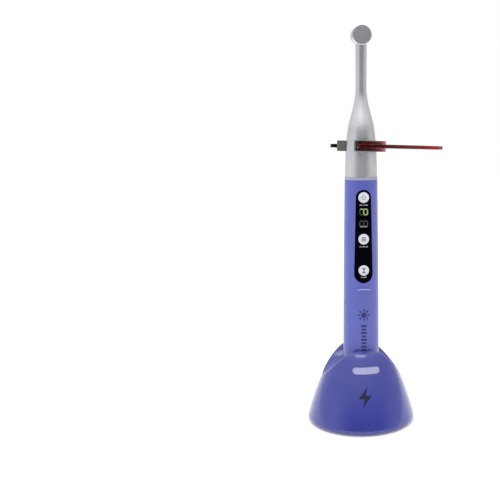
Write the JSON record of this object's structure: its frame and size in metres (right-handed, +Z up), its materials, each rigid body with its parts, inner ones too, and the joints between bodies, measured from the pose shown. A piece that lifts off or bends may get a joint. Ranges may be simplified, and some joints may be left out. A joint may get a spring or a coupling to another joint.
{
  "type": "dental curing light with charging base",
  "caption": "Cordless dental curing light with orange eye shield, standing in a round charging base with a cradle on top.",
  "frame": {"origin": "centre of the foot pad's underside, on the standing handpiece's axis", "axes": "+Z up along the handpiece; -Y is the side of the control panel; the light window in the head faces +Y"},
  "size_m": [0.1094, 0.0836, 0.303],
  "materials": {
    "silver_metal": "satin",
    "bezel_metal": "satin",
    "lens_glass": "polished",
    "reflector_metal": "polished",
    "thermal_grey": "matte",
    "emitter": "matte",
    "board_green": "satin",
    "chip_black": "matte",
    "wire_red": "satin",
    "natural_plastic": "satin",
    "trim_lavender": "gloss",
    "grip_violet": "gloss",
    "base_violet": "gloss",
    "base_dark": "matte",
    "panel_black": "gloss",
    "button_white": "satin",
    "steel": "satin",
    "gold_contact": "polished",
    "cell_wrap": "satin",
    "seal_rubber": "matte",
    "clip_grey": "matte",
    "shield_orange": "gloss",
    "indicator_milk": "gloss"
  },
  "bodies": {
    "base": {"base_shell": "base_violet", "contact_carrier": "natural_plastic", "pin_sleeves": "gold_contact", "pin_spring_inner": "steel", "pin_spring_outer": "steel", "charging_board": "board_green", "charging_chips": "chip_black", "riser_board": "board_green", "status_leds": "emitter", "indicator_window": "indicator_milk", "dc_jack": "chip_black", "dc_pin": "steel", "ballast_weight": "steel", "base_plate": "base_dark", "foot_pad": "seal_rubber", "base_screws": "steel", "board_screws": "steel", "carrier_screws": "steel"},
    "handpiece": {"head_shell": "silver_metal", "head_bezel": "bezel_metal", "head_lens": "lens_glass", "reflector_cup": "reflector_metal", "thermal_pad": "thermal_grey", "led_board": "board_green", "led_chip": "emitter", "led_wires": "wire_red", "led_connector": "natural_plastic", "head_coupler": "natural_plastic", "trim_ring": "trim_lavender", "body_shell": "grip_violet", "control_panel": "panel_black", "display_module": "panel_black", "main_board": "board_green", "board_chips": "chip_black", "power_inductor": "chip_black", "buzzer": "chip_black", "tact_switches": "chip_black", "main_board_screws": "steel", "inner_chassis": "natural_plastic", "battery_cell": "cell_wrap", "battery_plus_contact": "steel", "battery_spring": "steel", "tail_cap": "grip_violet", "tail_seal": "seal_rubber", "tail_board": "board_green", "tail_contact_inner": "gold_contact", "tail_contact_ring": "gold_contact"},
    "power_button": {"power_button": "button_white"},
    "mode_button": {"mode_button": "button_white"},
    "time_button": {"time_button": "button_white"},
    "shield_clip": {"shield_clip": "clip_grey"},
    "shield_plate": {"shield_plate": "shield_orange"},
    "charging_pin_inner": {"charging_pin_inner": "gold_contact"},
    "charging_pin_outer": {"charging_pin_outer": "gold_contact"}
  },
  "joints": [
    {"name": "handpiece_lift", "type": "slide", "parent": "base", "child": "handpiece", "axis": [0, 0, 1], "range_m": [0, 0.06]},
    {"name": "power_button_press", "type": "slide", "parent": "handpiece", "child": "power_button", "axis": [0, 1, 0], "range_m": [0, 0.0004], "stiffness_N_per_m": 3500, "springref_m": -0.0003},
    {"name": "mode_button_press", "type": "slide", "parent": "handpiece", "child": "mode_button", "axis": [0, 1, 0], "range_m": [0, 0.0004], "stiffness_N_per_m": 3500, "springref_m": -0.0003},
    {"name": "time_button_press", "type": "slide", "parent": "handpiece", "child": "time_button", "axis": [0, 1, 0], "range_m": [0, 0.0004], "stiffness_N_per_m": 3500, "springref_m": -0.0003},
    {"name": "shield_turn", "type": "hinge", "parent": "handpiece", "child": "shield_clip", "pos_m": [0, 0, 0.2143], "axis": [0.0209, 0, 0.9998], "continuous": true},
    {"name": "shield_pull_off", "type": "slide", "parent": "shield_clip", "child": "shield_plate", "axis": [0.9701, 0.2419, -0.0203], "range_m": [0, 0.04]},
    {"name": "pin_inner_press", "type": "slide", "parent": "base", "child": "charging_pin_inner", "axis": [0, 0, 1], "range_m": [-0.0012, 0], "stiffness_N_per_m": 600, "springref_m": 0.0008, "deforming": ["pin_spring_inner"]},
    {"name": "pin_outer_press", "type": "slide", "parent": "base", "child": "charging_pin_outer", "axis": [0, 0, 1], "range_m": [-0.0012, 0], "stiffness_N_per_m": 600, "springref_m": 0.0008, "deforming": ["pin_spring_outer"]}
  ]
}
